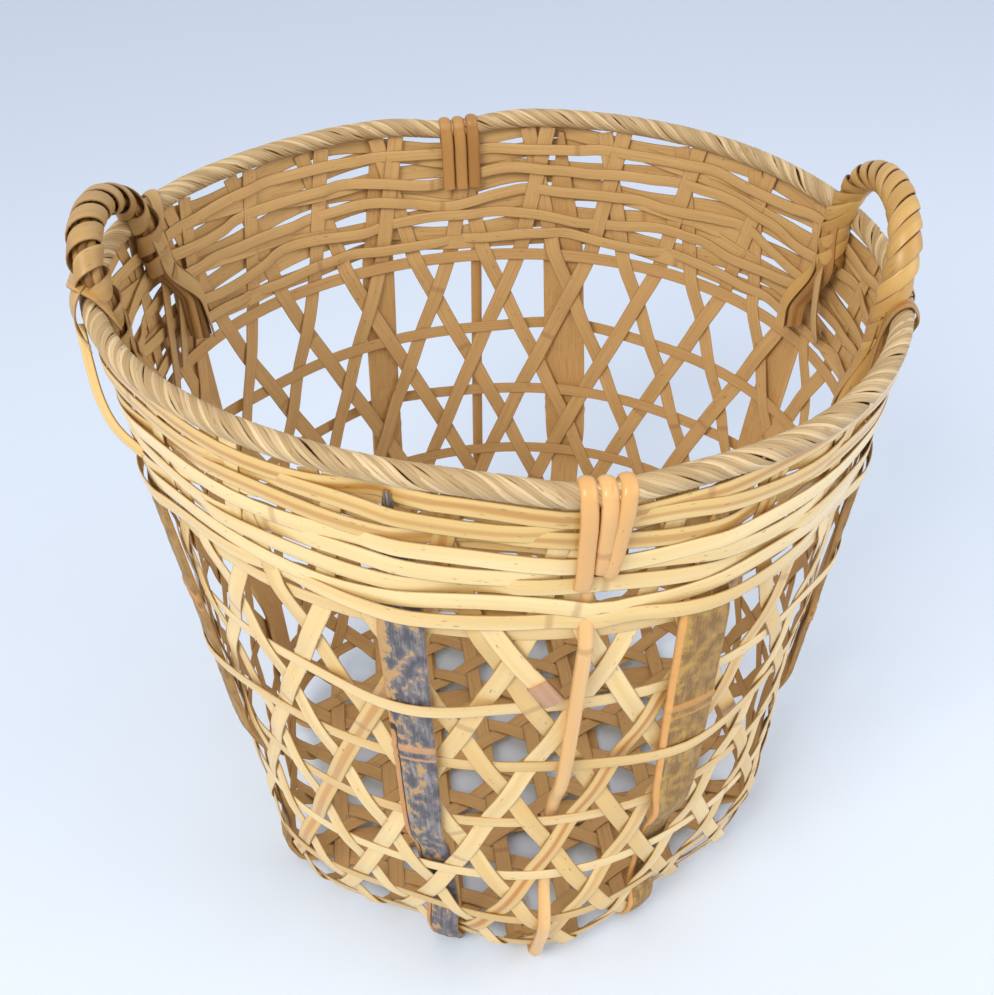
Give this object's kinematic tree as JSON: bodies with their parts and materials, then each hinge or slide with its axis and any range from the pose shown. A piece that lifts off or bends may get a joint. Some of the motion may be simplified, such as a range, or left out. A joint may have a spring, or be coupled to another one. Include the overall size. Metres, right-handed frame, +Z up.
{
  "type": "bamboo basket",
  "caption": "Open bamboo basket in hexagonal weave, with a six-sided base, a woven rim band, a twisted border, bent slats and arched handles.",
  "frame": {"origin": "on the ground, under the middle of the rim", "axes": "+Z up, +X towards the right-hand handle, +Y away from the front cane lashing"},
  "size_m": [0.4236, 0.4067, 0.4568],
  "materials": {
    "woven_strip": "split bamboo, satin",
    "hoop_strip": "split bamboo, satin",
    "slat_bark": "bamboo bark, mottled, satin",
    "band_strip": "split bamboo, glossy skin",
    "border_rope": "twisted split bamboo, satin",
    "handle_core": "bamboo, satin",
    "handle_strip": "split bamboo, glossy",
    "cane": "round cane, satin"
  },
  "bodies": {
    "root": {"band_strip_1": "band_strip", "band_strip_2": "band_strip", "band_strip_3": "band_strip", "band_strip_4": "band_strip", "band_strip_5": "band_strip", "band_strip_6": "band_strip", "band_strip_7": "band_strip", "band_strip_8": "band_strip", "border_strand_1": "border_rope", "border_strand_2": "border_rope", "cane_tail_back": "cane", "cane_tail_front": "cane", "cane_wrap_back_1": "cane", "cane_wrap_back_2": "cane", "cane_wrap_back_3": "cane", "cane_wrap_front_1": "cane", "cane_wrap_front_2": "cane", "cane_wrap_front_3": "cane", "handle_core_left": "handle_core", "handle_core_right": "handle_core", "handle_lashing_left": "handle_strip", "handle_lashing_right": "handle_strip", "handle_wrap_left": "handle_strip", "handle_wrap_right": "handle_strip", "hoop_1": "hoop_strip", "hoop_2": "hoop_strip", "hoop_3": "hoop_strip", "hoop_4": "hoop_strip", "hoop_5": "hoop_strip", "hoop_6": "hoop_strip", "hoop_7": "hoop_strip", "slat_back": "slat_bark", "slat_front": "slat_bark", "slat_left": "slat_bark", "slat_right": "slat_bark", "strip_a_1": "woven_strip", "strip_a_2": "woven_strip", "strip_a_3": "woven_strip", "strip_a_4": "woven_strip", "strip_a_5": "woven_strip", "strip_a_6": "woven_strip", "strip_a_7": "woven_strip", "strip_a_8": "woven_strip", "strip_b_1": "woven_strip", "strip_b_2": "woven_strip", "strip_b_3": "woven_strip", "strip_b_4": "woven_strip", "strip_b_5": "woven_strip", "strip_b_6": "woven_strip", "strip_b_7": "woven_strip", "strip_b_8": "woven_strip", "strip_c_1": "woven_strip", "strip_c_2": "woven_strip", "strip_c_3": "woven_strip", "strip_c_4": "woven_strip", "strip_c_5": "woven_strip", "strip_c_6": "woven_strip", "strip_c_7": "woven_strip", "strip_c_8": "woven_strip"}
  },
  "joints": []
}
